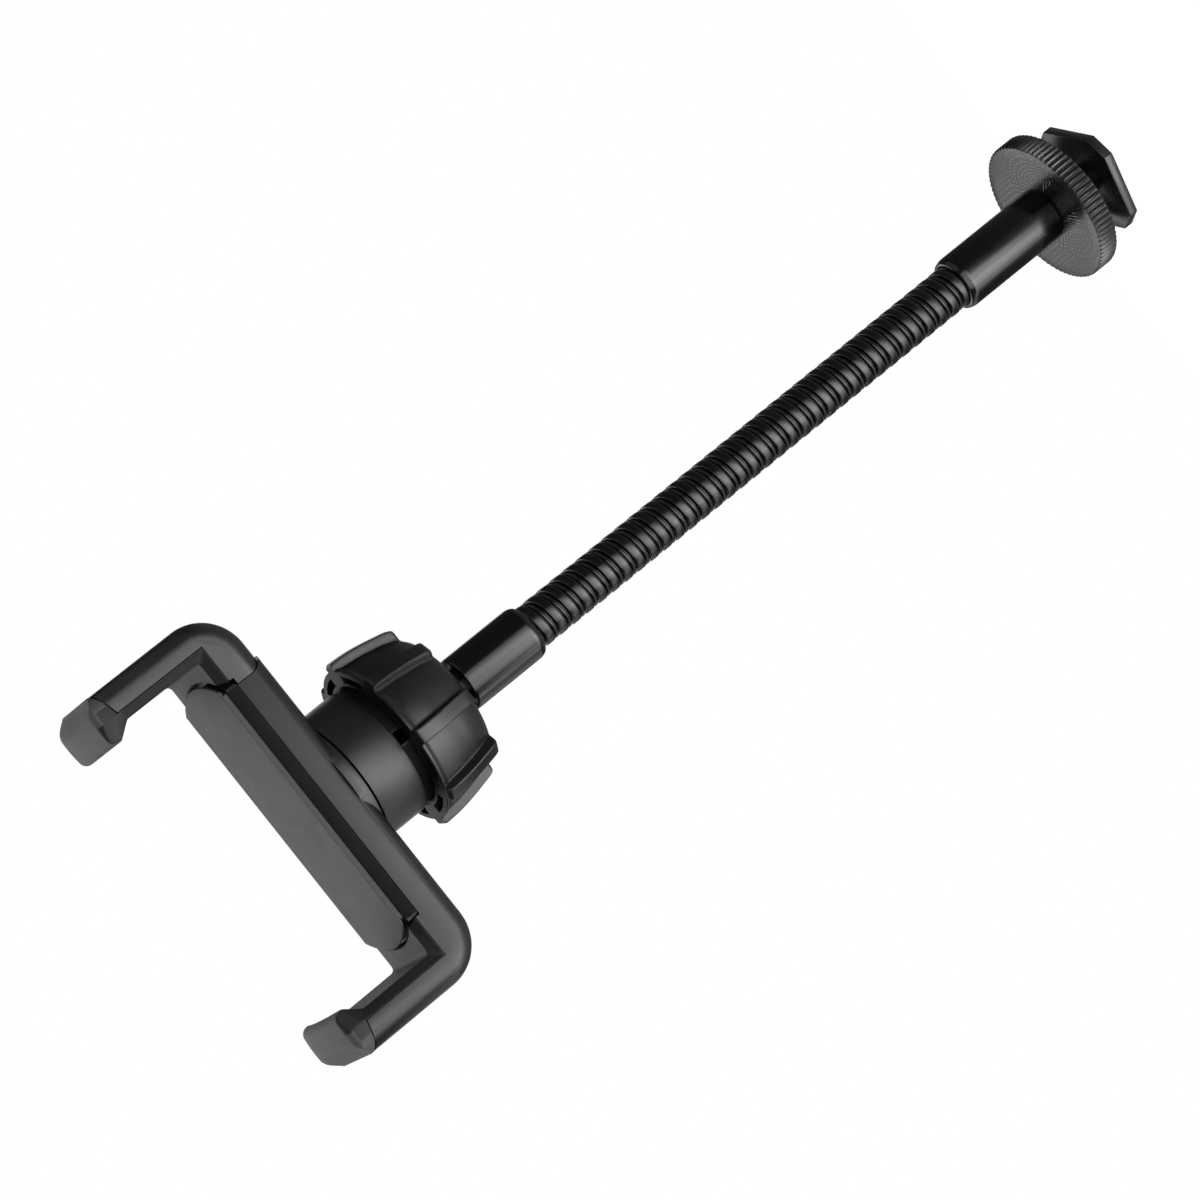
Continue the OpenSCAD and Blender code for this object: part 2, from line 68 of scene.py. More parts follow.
def makeFinish(name, look):
    # one base colour that varies faintly, a roughness that varies with it, and a grain in the bump
    mat = bpy.data.materials.new(name)
    mat.use_nodes = True
    tree = mat.node_tree
    tree.nodes.clear()
    place = addNode(tree, "ShaderNodeTexCoord")
    cloud = addNode(tree, "ShaderNodeTexNoise", {"Vector": place.outputs["Object"],
                    "Scale": 1 / (look["cloudSize"] * mm), "Detail": 4.0, "Roughness": 0.55})
    tint = addNode(tree, "ShaderNodeMix", {0: cloud.outputs["Fac"], 6: linear(look["dark"]),
                   7: linear(look["light"])}, data_type="RGBA")
    rough = addNode(tree, "ShaderNodeMapRange", {"Value": cloud.outputs["Fac"], "From Min": 0.25,
                    "From Max": 0.75, "To Min": look["rough"][0], "To Max": look["rough"][1]})
    grain = addNode(tree, "ShaderNodeTexNoise", {"Vector": place.outputs["Object"],
                    "Scale": 1 / (look["grainSize"] * mm), "Detail": look.get("grainDetail", 2.0),
                    "Roughness": 0.6})
    bump = addNode(tree, "ShaderNodeBump", {"Height": grain.outputs["Fac"], "Strength": look["grainStrength"],
                   "Distance": look["grainDepth"] * mm})
    shader = addNode(tree, "ShaderNodeBsdfPrincipled", {"Base Color": tint.outputs[2],
                     "Roughness": rough.outputs["Result"], "Normal": bump.outputs["Normal"]})
    for key, value in look.get("sockets", {}).items():
        shader.inputs[key].default_value = value
    addNode(tree, "ShaderNodeOutputMaterial", {"Surface": shader.outputs["BSDF"]})
    return mat


# black e-coat lacquer on turned steel: a deep gloss that mirrors the lamps, with hardly any orange peel
gloss = {"dark": "#040404", "light": "#070707", "cloudSize": 9, "rough": (0.14, 0.2), "grainSize": 0.9,
         "grainStrength": 0.12, "grainDepth": 0.01, "sockets": {"IOR": 1.55}}
lacquer = makeFinish("blackLacqueredSteel", gloss)
# the same lacquer on the wound neck, a little duller where the turns rub
neckSteel = makeFinish("blackLacqueredNeck", dict(gloss, rough=(0.2, 0.3), light="#080808"))
# black oxide on machined steel: satin, greyer than the lacquer
oxide = makeFinish("blackOxideSteel", {"dark": "#0e0e0f", "light": "#161617", "cloudSize": 5,
                   "rough": (0.22, 0.34), "grainSize": 0.25, "grainStrength": 0.2, "grainDepth": 0.012,
                   "sockets": {"IOR": 1.6}})
# spring steel left bright, with draw lines
wire = makeFinish("springSteel", {"dark": "#8c8c8e", "light": "#a5a5a8", "cloudSize": 1.2,
                  "rough": (0.25, 0.4), "grainSize": 0.2, "grainStrength": 0.2, "grainDepth": 0.01,
                  "sockets": {"Metallic": 1.0}})
# glass-filled nylon, moulded with a fairly smooth face that shines along the ribs: the ring nut
shiny = {"dark": "#0b0b0c", "light": "#111112", "cloudSize": 4, "rough": (0.28, 0.35), "grainSize": 0.35,
         "grainStrength": 0.22, "grainDepth": 0.02, "sockets": {"IOR": 1.55}}
nylon = makeFinish("mouldedNylon", shiny)
# the same nylon on the rim, where the mould leaves it matt: stays dark beside the shining ribs
rimNylon = makeFinish("mattMouldedNylon", dict(shiny, rough=(0.5, 0.58), grainStrength=0.3,
                      sockets={"IOR": 1.3}))
# ABS with a fine sparked texture: near black, with a soft wide sheen
plastic = {"dark": "#0b0b0c", "light": "#121213", "cloudSize": 6, "rough": (0.33, 0.41), "grainSize": 0.24,
           "grainStrength": 0.5, "grainDepth": 0.035, "sockets": {"IOR": 1.6}}
sparked = makeFinish("mouldedAbs", plastic)
# the cover's ABS, a separate moulding and a shade greyer
coverAbs = makeFinish("mouldedCoverAbs", dict(plastic, dark="#171718", light="#1f1f20"))
# soft rubber, dull, its colour painted a shade greyer than the rubber's own: painted light, standing for the
# lamps on its upturned faces
litRubberLook = {"dark": "#404041", "light": "#4b4b4c", "cloudSize": 3, "rough": (0.6, 0.7), "grainSize": 0.3,
        "grainStrength": 0.35, "grainDepth": 0.03, "sockets": {"IOR": 1.45}}
paintedLightRubber = makeFinish("mouldedRubberPaintedLight", litRubberLook)
# the same rubber on the liners' sloping sides, painted darker: painted shade where those sides turn away from
# the lamps; smoother too
paintedShadeRubber = makeFinish("mouldedRubberPaintedShade", dict(litRubberLook, dark="#0f0f10", light="#161617",
                         rough=(0.48, 0.58)))
print("finishes made")


def finishPiece(name, mesh, material, body, replaced=(), smooth=32, second=None, isSecond=None):
    # smooth: edges sharper than this many degrees stay sharp; isSecond picks the faces of the second material
    mesh.materials.clear()
    mesh.materials.append(material)
    if second:
        mesh.materials.append(second)
    for face in mesh.polygons:
        face.use_smooth = True
        face.material_index = 1 if second and isSecond(face.center / mm, face.normal) else 0
    mesh.set_sharp_from_angle(angle=radians(smooth))
    piece = bpy.data.objects.new(name, mesh)
    scene.collection.objects.link(piece)
    if body:
        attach(piece, body)
    if replaced:
        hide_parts(*replaced)
    return piece


def meshFrom(name, points, faces):
    mesh = bpy.data.meshes.new(name)
    mesh.from_pydata([(x * mm, y * mm, z * mm) for x, y, z in points], [], faces)
    bm = bmesh.new()
    bm.from_mesh(mesh)
    bmesh.ops.remove_doubles(bm, verts=bm.verts, dist=1e-7)
    bmesh.ops.recalc_face_normals(bm, faces=bm.faces)
    bm.to_mesh(mesh)
    bm.free()
    return mesh


def rounded(points, steps=4):
    # corners with a third number are rounded off by that many millimetres
    out = []
    count = len(points)
    for i, p in enumerate(points):
        if len(p) < 3 or i in (0, count - 1):
            out.append((p[0], p[1]))
            continue
        here = Vector(p[:2])
        back = Vector(points[i - 1][:2]) - here
        ahead = Vector(points[i + 1][:2]) - here
        a = here + back.normalized() * min(p[2], back.length * 0.49)
        b = here + ahead.normalized() * min(p[2], ahead.length * 0.49)
        for k in range(steps + 1):
            t = k / steps
            q = a * (1 - t) ** 2 + here * 2 * t * (1 - t) + b * t * t
            out.append((q.x, q.y))
    return out


def latheMesh(name, profile, segments=96, closed=False):
    # profile as radius and height; an open one starts and ends on the axis
    points, faces = [], []
    count = len(profile)
    for r, z in profile:
        for s in range(segments):
            a = 2 * pi * s / segments
            points.append((r * cos(a), r * sin(a), z))
    for i in range(count if closed else count - 1):
        for s in range(segments):
            t = (s + 1) % segments
            n = (i + 1) % count
            faces.append((i * segments + s, i * segments + t, n * segments + t, n * segments + s))
    mesh = meshFrom(name, points, faces)
    bm = bmesh.new()
    bm.from_mesh(mesh)
    bmesh.ops.dissolve_degenerate(bm, edges=bm.edges, dist=1e-8)
    bm.to_mesh(mesh)
    bm.free()
    return mesh


def cadCopy(node, name, bevel=0.12, shrink=0.0, shape=None, widths=()):
    # a merged copy of a CAD node with its hard edges broken; shrink leaves a dark line at its seams,
    # and widths gives the edges that a test picks a rounding of their own
    farthest = 1.6   # how many times shrink a sharp corner may move
    hardEdge = radians(30)
    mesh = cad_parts[node].data.copy()
    mesh.name = name
    bm = bmesh.new()
    bm.from_mesh(mesh)
    bmesh.ops.remove_doubles(bm, verts=bm.verts, dist=2e-6)
    bmesh.ops.dissolve_limit(bm, angle_limit=radians(0.4), verts=bm.verts, edges=bm.edges)
    if shrink:
        bm.normal_update()
        moves = [(v, v.normal * v.calc_shell_factor()) for v in bm.verts]
        for v, way in moves:
            v.co -= way * min(1.0, farthest / max(way.length, 1e-9)) * shrink * mm
    if shape:
        shape(bm)
    layer = bm.edges.layers.float.new("bevel_weight_edge")
    wide = max([bevel] + [width for width, test in widths])
    for edge in bm.edges:
        if len(edge.link_faces) != 2 or edge.calc_face_angle(0.0) < hardEdge:
            continue
        mid = (edge.verts[0].co + edge.verts[1].co) / 2 / mm
        width = bevel
        for amount, test in widths:
            if test(mid.x, mid.y, mid.z):
                width = amount
                break
        edge[layer] = width / wide
    bm.to_mesh(mesh)
    bm.free()
    holder = bpy.data.objects.new(name + "Raw", mesh)
    scene.collection.objects.link(holder)
    rounding = holder.modifiers.new("edge", "BEVEL")
    rounding.width = wide * mm
    rounding.segments = 2
    rounding.limit_method = "WEIGHT"
    rounding.use_clamp_overlap = True
    return plainMesh(holder, name)


def plainMesh(holder, name):
    # the holder's mesh with its modifiers applied; the holder goes
    graph = bpy.context.evaluated_depsgraph_get()
    mesh = bpy.data.meshes.new_from_object(holder.evaluated_get(graph))
    bpy.data.objects.remove(holder)
    mesh.name = name
    return mesh


def runTree(tree, name, values):
    # evaluates a geometry tree on an empty mesh and gives the plain mesh back
    holder = bpy.data.objects.new(name + "Raw", bpy.data.meshes.new(name + "Raw"))
    scene.collection.objects.link(holder)
    mod = holder.modifiers.new("tree", "NODES")
    mod.node_group = tree
    for item in tree.interface.items_tree:
        if item.item_type == "SOCKET" and item.in_out == "INPUT" and item.name in values:
            mod[item.identifier] = values[item.name]
    holder.update_tag()
    return plainMesh(holder, name)


def startTree(name, inputs):
    # a geometry tree with named inputs, given as label, kind and default
    tree = bpy.data.node_groups.new(name, "GeometryNodeTree")
    for label, kind, value in inputs:
        made = tree.interface.new_socket(name=label, in_out="INPUT", socket_type="NodeSocket" + kind)
        if value is not None:
            made.default_value = value
    tree.interface.new_socket(name="Geometry", in_out="OUTPUT", socket_type="NodeSocketGeometry")
    return tree, tree.nodes.new("NodeGroupInput"), tree.nodes.new("NodeGroupOutput")


def woundTree(name, material):
    # a closed section swept round the axis on a right-handed spiral
    tree, given, out = startTree(name, [("Section", "Object", None), ("Turns", "Float", 2.0),
                                 ("Pitch", "Float", 0.003), ("Radius", "Float", 0.0035), ("Steps", "Int", 56),
                                 ("Base", "Float", 0.0), ("Start angle", "Float", pi / 2)])
    rise = addNode(tree, "ShaderNodeMath", {0: given.outputs["Turns"], 1: given.outputs["Pitch"]},
                   operation="MULTIPLY")
    spiral = addNode(tree, "GeometryNodeCurveSpiral", {"Resolution": given.outputs["Steps"],
                     "Rotations": given.outputs["Turns"], "Start Radius": given.outputs["Radius"],
                     "End Radius": given.outputs["Radius"], "Height": rise.outputs[0], "Reverse": True})
    upright = addNode(tree, "GeometryNodeSetCurveNormal", {"Curve": spiral.outputs["Curve"]}, mode="Z_UP")
    section = addNode(tree, "GeometryNodeObjectInfo", {"Object": given.outputs["Section"]})
    sweep = addNode(tree, "GeometryNodeCurveToMesh", {"Curve": upright.outputs["Curve"],
                    "Profile Curve": section.outputs["Geometry"], "Fill Caps": True})
    turn = addNode(tree, "ShaderNodeCombineXYZ", {"Z": given.outputs["Start angle"]})
    lift = addNode(tree, "ShaderNodeCombineXYZ", {"Z": given.outputs["Base"]})
    placed = addNode(tree, "GeometryNodeTransform", {"Geometry": sweep.outputs["Mesh"],
                     "Translation": lift.outputs[0], "Rotation": turn.outputs[0]})
    real = addNode(tree, "GeometryNodeRealizeInstances", {"Geometry": placed.outputs["Geometry"]})
    dress = addNode(tree, "GeometryNodeSetMaterial", {"Geometry": real.outputs["Geometry"],
                    "Material": material})
    tree.links.new(dress.outputs["Geometry"], out.inputs["Geometry"])
    return tree


def sectionCurve(name, points):
    # a closed poly curve in the XY plane, for a wound tree's section
    data = bpy.data.curves.new(name, "CURVE")
    data.dimensions = "3D"
    line = data.splines.new("POLY")
    line.points.add(len(points) - 1)
    for spot, (x, y) in zip(line.points, points):
        spot.co = (x * mm, y * mm, 0, 1)
    line.use_cyclic_u = True
    made = bpy.data.objects.new(name, data)
    scene.collection.objects.link(made)
    return made


# path: the radius the section is swept along; soft: half the length over which one bend is spread, which
# nothing here reads
neck = {"rise": -0.12, "pitch": 2.984, "firstBend": 39.21, "bends": 16, "path": 3.4, "core": 3.45,
        "steps": 60, "soft": 1.42}
# groove, bead, fine line and wide flat band of one turn: radius and height over the groove
neckTurn = [(3.2, 0.02), (3.5, 0.1), (3.78, 0.2), (3.91, 0.27), (3.96, 0.36), (3.97, 0.56), (3.95, 0.76),
            (3.89, 0.83), (3.76, 0.87), (3.56, 0.92), (3.56, 1.03), (3.82, 1.08), (3.97, 1.13), (4.03, 1.22),
            (4.05, 1.38), (4.05, 2.5), (4.03, 2.64), (3.96, 2.74), (3.82, 2.8), (3.55, 2.85), (3.2, 2.89)]
links = ["link_%02d" % i for i in range(1, neck["bends"])]


def buildNeck():
    section = sectionCurve("neckSection", [(r - neck["path"], -z - neck["rise"])
                           for r, z in reversed(neckTurn)])
    tree = woundTree("neckTurns", neckSteel)
    pitch = neck["pitch"]

    def windTurns(name, base, low, high):
        # two turns from base up, on a closed core from low to high
        mesh = runTree(tree, name, {"Section": section, "Turns": 2.0, "Pitch": pitch * mm,
                       "Radius": neck["path"] * mm, "Steps": neck["steps"], "Base": base * mm,
                       "Start angle": pi / 2})
        core, rows, count = neck["core"] * mm, 8, 40
        bm = bmesh.new()
        bm.from_mesh(mesh)
        rings = [[bm.verts.new((core * cos(2 * pi * s / count), core * sin(2 * pi * s / count),
                  (low + (high - low) * i / rows) * mm)) for s in range(count)] for i in range(rows + 1)]
        for i in range(rows):
            for s in range(count):
                t = (s + 1) % count
                bm.faces.new((rings[i][s], rings[i][t], rings[i + 1][t], rings[i + 1][s]))
        bm.faces.new(list(reversed(rings[0])))
        bm.faces.new(rings[-1])
        bm.to_mesh(mesh)
        bm.free()
        return mesh

    replaced = ["neck_root"] + ["neck_" + link for link in links] + ["neck_head"]
    for j in range(neck["bends"]):
        at = neck["firstBend"] + 2 * pitch * j
        name = "neckTurns%02d" % j
        mesh = windTurns(name, at - 1.5 * pitch, at - pitch, at + pitch)
        piece = finishPiece(name, mesh, neckSteel, None, [replaced[j]], smooth=38)
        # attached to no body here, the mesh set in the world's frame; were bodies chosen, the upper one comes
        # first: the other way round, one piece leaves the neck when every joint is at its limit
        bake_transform(piece)
    # the turns inside the ferrules don't bend
    low = neck["firstBend"] - 1.5 * pitch
    mesh = windTurns("neckFootEnd", low - 2 * pitch, low - 2.2 * pitch, low + 0.5 * pitch)
    finishPiece("neckFootEnd", mesh, neckSteel, "foot", smooth=38)
    high = neck["firstBend"] + 2 * pitch * (neck["bends"] - 1)
    mesh = windTurns("neckTopEnd", high + 0.5 * pitch, high + pitch, high + 3.4 * pitch)
    finishPiece("neckTopEnd", mesh, neckSteel, "neck_top", [replaced[-1]], smooth=38)
    bpy.data.objects.remove(section)
    print("neck wound")


buildNeck()

# edge: the rounding of the nut's rim; studHead and headTall: the flat head under the plate
foot = {"studRadius": 3.15, "studTop": 19.9, "studHead": 4.6, "headTall": 1.2, "threadPitch": 1.27,
        "threadDepth": 0.55, "threadLow": 1.9, "nutRadius": 12.7, "nutBore": 3.2, "nutTeeth": 78,
        "toothDepth": 0.45, "nutLow": 7.7, "nutHigh": 11.9, "edge": 0.4}


def buildStud():
    r = foot["studRadius"]
    d = foot["threadDepth"]
    p = foot["threadPitch"]
    section = sectionCurve("threadSection", [(-d - 0.15, 0.02), (-d, 0.08), (-0.1, p * 0.42), (0, p * 0.46),
                           (0, p * 0.54), (-0.1, p * 0.58), (-d, p - 0.08), (-d - 0.15, p - 0.02)])
    tree = woundTree("studThread", oxide)
    wound = runTree(tree, "studThread", {"Section": section, "Turns": 9.0, "Pitch": p * mm, "Radius": r * mm,
                    "Steps": 40, "Base": foot["threadLow"] * mm, "Start angle": pi / 2})
    bpy.data.objects.remove(section)
    head, tall, top = foot["studHead"], foot["headTall"], foot["studTop"]
    root = r - d + 0.02
    core = rounded([(0, 0), (head, 0, 0.25), (head, tall, 0.1), (root, tall + 0.05), (root, top - 0.5, 0.5),
                   (0, top)])
    shaft = latheMesh("footStud", core, 64)
    bm = bmesh.new()
    bm.from_mesh(shaft)
    bm.from_mesh(wound)
    bm.to_mesh(shaft)
    bm.free()
    finishPiece("footStud", shaft, oxide, "foot", ["foot_stud"])


def buildLockNut():
    # one tooth's slice, repeated round the axis and merged
    n, r, bore = foot["nutTeeth"], foot["nutRadius"], foot["nutBore"]
    step = 2 * pi / n
    low, high, e, d = foot["nutLow"], foot["nutHigh"], foot["edge"], foot["toothDepth"]
    # across one tooth: part of its width, and depth under the nut's radius
    across = [(0.0, d), (0.1, d * 0.96), (0.36, 0.05), (0.43, 0.0), (0.57, 0.0), (0.64, 0.05),
              (0.9, d * 0.96), (1.0, d)]
    # round the nut's section: radius, height, and how much of the tooth's depth there is
    rows = [(bore, low + 0.5, 0), (bore + 0.5, low, 0), (r - 2.2, low, 0), (r - e - 0.45, low, 0),
            (r - e * 0.62, low + 0.06, 0.35), (r - e * 0.2, low + e * 0.55, 0.8), (r, low + e, 1),
            (r, high - e, 1), (r - e * 0.2, high - e * 0.55, 0.8), (r - e * 0.62, high - 0.06, 0.35),
            (r - e - 0.45, high, 0), (r - 2.2, high, 0), (bore + 0.5, high, 0), (bore, high - 0.5, 0)]
    points, faces = [], []
    for rad, z, share in rows:
        for part, depth in across:
            a = (part - 0.5) * step
            rr = rad - depth * share
            points.append((rr * cos(a), rr * sin(a), z))
    w = len(across)
    for i in range(len(rows) - 1):
        for k in range(w - 1):
            faces.append((i * w + k, i * w + k + 1, (i + 1) * w + k + 1, (i + 1) * w + k))
    for k in range(w - 1):
        i = len(rows) - 1
        faces.append((i * w + k, i * w + k + 1, k + 1, k))
    holder = bpy.data.objects.new("nutSlice", meshFrom("nutSlice", points, faces))
    scene.collection.objects.link(holder)
    tree, given, out = startTree("nutKnurl", [("Slice", "Object", None), ("Teeth", "Int", n)])
    ring = addNode(tree, "GeometryNodeMeshCircle", {"Vertices": given.outputs["Teeth"], "Radius": 0.001})
    index = addNode(tree, "GeometryNodeInputIndex")
    share = addNode(tree, "ShaderNodeMath", {0: index.outputs[0], 1: given.outputs["Teeth"]},
                    operation="DIVIDE")
    angle = addNode(tree, "ShaderNodeMath", {0: share.outputs[0], 1: 2 * pi}, operation="MULTIPLY")
    turn = addNode(tree, "ShaderNodeCombineXYZ", {"Z": angle.outputs[0]})
    flat = addNode(tree, "GeometryNodeSetPosition", {"Geometry": ring.outputs["Mesh"],
                   "Position": (0.0, 0.0, 0.0)})
    tooth = addNode(tree, "GeometryNodeObjectInfo", {"Object": given.outputs["Slice"]})
    spread = addNode(tree, "GeometryNodeInstanceOnPoints", {"Points": flat.outputs["Geometry"],
                     "Instance": tooth.outputs["Geometry"], "Rotation": turn.outputs[0]})
    real = addNode(tree, "GeometryNodeRealizeInstances", {"Geometry": spread.outputs["Instances"]})
    merged = addNode(tree, "GeometryNodeMergeByDistance", {"Geometry": real.outputs["Geometry"],
                     "Distance": 2e-6})
    dress = addNode(tree, "GeometryNodeSetMaterial", {"Geometry": merged.outputs["Geometry"],
                    "Material": oxide})
    tree.links.new(dress.outputs["Geometry"], out.inputs["Geometry"])
    mesh = runTree(tree, "lockNut", {"Slice": holder, "Teeth": n})
    bpy.data.objects.remove(holder)
    finishPiece("lockNut", mesh, oxide, "lock_nut", ["lock_nut"], smooth=28)


# mouth: the radius of the bore at the neck; bore: of the one at the other end
ferrule = {"radius": 5.0, "lowTip": 34.35, "lowBase": 11.95, "highTip": 134.75, "highBase": 150.2,
           "mouth": 4.14, "bore": 3.25}


def buildFerrules():
    # both are turned tubes with a rolled end at the neck
    r, mouth, bore = ferrule["radius"], ferrule["mouth"], ferrule["bore"]
    for part, end, body in (("lower", "low", "foot"), ("upper", "high", "neck_top")):
        base, tip = ferrule[end + "Base"], ferrule[end + "Tip"]
        s = 1 if tip > base else -1
        profile = rounded([(bore, base), (r - 0.15, base, 0.2), (r, base + s * 0.25, 0.2),
                           (r, tip - s * 0.95, 0.7), (r - 0.32, tip - s * 0.12, 0.3), (r - 0.62, tip, 0.12),
                           (mouth, tip, 0.06), (mouth, tip - s * 1.2, 0.3), (mouth - 0.04, tip - s * 8.9),
                           (bore, tip - s * 9.1)], 6)
        name = part + "Ferrule"
        finishPiece(name, latheMesh(name, profile, 128, closed=True), lacquer, body,
                    [part + "_ferrule"], smooth=40)


buildStud()
buildLockNut()
buildFerrules()
finishPiece("shoePlate", cadCopy("shoe_plate", "shoePlate", 0.14), oxide, "foot",
            ["shoe_plate"])
print("foot made")

# ribTurn and pocketTurn are in degrees; pocketTurn is half a pocket's width round the rim
joint = {"ballRadius": 8.5, "ballHeight": 158.9, "shaftRadius": 3.1, "ringLow": 153.45, "ringLength": 13.25,
         "ribs": 8, "ribWidth": 2.8, "ribFoot": 0.55, "ribTurn": -97, "boreRadius": 11.38, "pocketIn": 12.65,
         "pocketOut": 14.1, "pocketTurn": 13, "pocketDeep": 3.6, "collarRadius": 11.8, "collarDip": 0.3}
# outer face of the ring nut without ribs, and over a rib: radius and height from its low end
ringFace = [(9.3, 0.0), (10.2, 0.0), (11.1, 0.15), (11.8, 0.5), (12.5, 1.25), (12.75, 1.8), (13.0, 2.4),
            (13.3, 3.25), (13.55, 4.1), (13.77, 5.1), (13.95, 6.1), (14.17, 7.1), (14.35, 8.1), (14.5, 9.1),
            (14.6, 10.1), (14.7, 11.0), (14.78, 11.8), (14.84, 12.15), (14.97, 12.42), (15.08, 12.75),
            (15.1, 13.05), (15.02, 13.2), (14.9, 13.25)]
ribFace = [(9.3, 0.0), (10.2, 0.0), (11.1, 0.15), (11.75, 0.5), (12.4, 0.85), (13.75, 0.86), (14.2, 0.94),
           (14.5, 1.2), (14.72, 1.7), (14.95, 2.6), (15.17, 3.7), (15.45, 5.0), (15.72, 6.4), (15.95, 7.8),
           (16.12, 9.1), (16.22, 10.3), (16.27, 11.2), (16.3, 11.9), (16.31, 12.3), (16.32, 12.6),
           (16.28, 12.8), (16.1, 13.05), (15.85, 13.25)]


def ringColumns():
    # places round the nut, dense at a rib's flanks: each gives its angle at a radius, and its share of rib
    half, toe = joint["ribWidth"] / 2, joint["ribFoot"]
    # from a rib's foot to its back: millimetres inwards from the flank, and how much of the rib there is
    rise = [(-toe, 0.0), (-0.22, 0.0), (-0.07, 0.04), (-0.01, 0.16), (0.02, 0.5), (0.05, 0.84), (0.12, 0.95),
            (0.26, 1.0), (0.6, 1.0)]
    flank = [(x - half, share) for x, share in rise] + [(0.0, 1.0)]
    flank += [(half - x, share) for x, share in reversed(rise)]

    def onRib(mid, off):
        return lambda r: mid + asin(max(-0.99, min(0.99, off / r)))

    def between(mid, ahead, t):
        def turn(r):
            edge = asin(min(0.99, (half + toe) / r))
            return mid + edge + (ahead - mid - 2 * edge) * t
        return turn

    columns = []
    for k in range(joint["ribs"]):
        mid, ahead = (radians(joint["ribTurn"] + i * 360 / joint["ribs"]) for i in (k, k + 1))
        columns += [(onRib(mid, off), share) for off, share in flank]
        columns += [(between(mid, ahead, t / 12), 0.0) for t in range(1, 12)]
    return columns


def pocketCutter():
    # a curved block in the rim between each two ribs
    inR, outR, wide = joint["pocketIn"], joint["pocketOut"], radians(joint["pocketTurn"])
    top = joint["ringLow"] + joint["ringLength"]
    points, faces = [], []
    for k in range(joint["ribs"]):
        mid = radians(joint["ribTurn"] + (k + 0.5) * 360 / joint["ribs"])
        outline = [(outR, mid - wide + 2 * wide * t / 12) for t in range(13)]
        outline += [(inR, mid + wide - 2 * wide * t / 12) for t in range(13)]
        start, m = len(points), len(outline)
        for z in (top - joint["pocketDeep"], top + 1):
            points += [(r * cos(a), r * sin(a), z) for r, a in outline]
        faces.append([start + i for i in range(m)][::-1])
        faces.append([start + m + i for i in range(m)])
        for i in range(m):
            j = (i + 1) % m
            faces.append((start + i, start + j, start + m + j, start + m + i))
    cutter = bpy.data.objects.new("ringCut", meshFrom("ringCut", points, faces))
    scene.collection.objects.link(cutter)
    return cutter


def buildRingNut():
    bore = joint["boreRadius"]
    # the inside, from the rim down through the bore to the cone seat
    inner = [(13.2, 13.25), (12.1, 13.25), (11.9, 13.1), (bore, 12.3), (bore, 6.6), (9.3, 2.9), (8.9, 1.4),
             (9.1, 0.3)]
    columns = ringColumns()
    points, faces = [], []
    for turn, share in columns:
        section = [(rb + (rr - rb) * share, zb + (zr - zb) * share)
                   for (rb, zb), (rr, zr) in zip(ringFace, ribFace)]
        for r, z in section + inner:
            a = turn(r)
            points.append((r * cos(a), r * sin(a), joint["ringLow"] + z))
    w, total = len(ringFace) + len(inner), len(columns)
    for c in range(total):
        d = (c + 1) % total
        for i in range(w):
            n = (i + 1) % w
            faces.append((c * w + i, d * w + i, d * w + n, c * w + n))
    holder = bpy.data.objects.new("ringRaw", meshFrom("ringNut", points, faces))
    scene.collection.objects.link(holder)
    # hollows in the rim between the ribs, as moulded parts have them to keep walls even
    cutter = pocketCutter()
    cut = holder.modifiers.new("cut", "BOOLEAN")
    cut.object = cutter
    cut.operation = "DIFFERENCE"
    cut.solver = "EXACT"
    mesh = plainMesh(holder, "ringNut")
    bpy.data.objects.remove(cutter)
    rim = joint["ringLow"] + joint["ringLength"] - 0.25
    finishPiece("ringNut", mesh, nylon, "ring_nut", ["ring_nut"], smooth=30, second=rimNylon,
                isSecond=lambda c, normal: c.z > rim and normal.z > 0.8)


def buildBall():
    r, thin, height = joint["ballRadius"], joint["shaftRadius"], joint["ballHeight"]
    low = asin((thin + 0.02) / r)   # the flat where the shaft enters
    steps = 40
    profile = [(0.0, height - r * cos(low) + 0.02)]
    for i in range(steps):
        a = -pi / 2 + low + (pi - low) * i / steps
        profile.append((r * cos(a), height + r * sin(a)))
    profile.append((0.0, height + r))
    finishPiece("ballHead", latheMesh("ballHead", profile, 128), lacquer, "ball", ["ball"],
                smooth=40)
    base, top = 144.3, 163.2   # from inside the ferrule to inside the ball
    shaft = rounded([(0, base), (thin, base, 0.2), (thin, 150.9, 0.5), (thin, top, 0.2), (0, top)])
    finishPiece("ballShaft", latheMesh("ballShaft", shaft, 72), lacquer, "neck_top",
                ["ball_stud"], smooth=40)


def dipCollar(bm):
    # the collar's outer edge stays clear of the housing, so a dark line runs round it
    for v in bm.verts:
        x, y, z = v.co / mm
        if z > 176.9 and sqrt(x * x + y * y) > joint["collarRadius"]:
            v.co.z -= joint["collarDip"] * mm


buildRingNut()
buildBall()
finishPiece("socketCollar", cadCopy("socket", "socketCollar", 0.12, shrink=0.04, shape=dipCollar), sparked,
            "clamp", ["socket"], smooth=24)
print("ball joint made")

# split: where housing and jaw meet; fixedFace, jawFace: the hard arms' inner faces, from the neck's line;
# the shifts move a form off the mean place of the two arms
clamp = {"backHeight": 177.1, "filletTop": 180.3, "splitX": 23.5, "splitBow": 1.9, "splitShift": -0.6,
         "fixedFace": 30.15, "jawFace": 29.5, "fixedShift": -0.5, "jawShift": 0.25, "armEnd": 200.5,
         "halfWidth": 11.5, "coverTop": 185.5, "coverSlope": 1.4, "padHalf": 26.7, "padRadius": 22.4,
         "padWidth": 22.3, "padTop": 186.95, "padLip": 0.36, "padInset": 1.5, "seam": 0.06}


def reachArm(bm, shift):
    # the hard part of an arm ends a little higher or lower than the average of both
    for v in bm.verts:
        if v.co.z > clamp["armEnd"] * mm:
            v.co.z += shift * mm


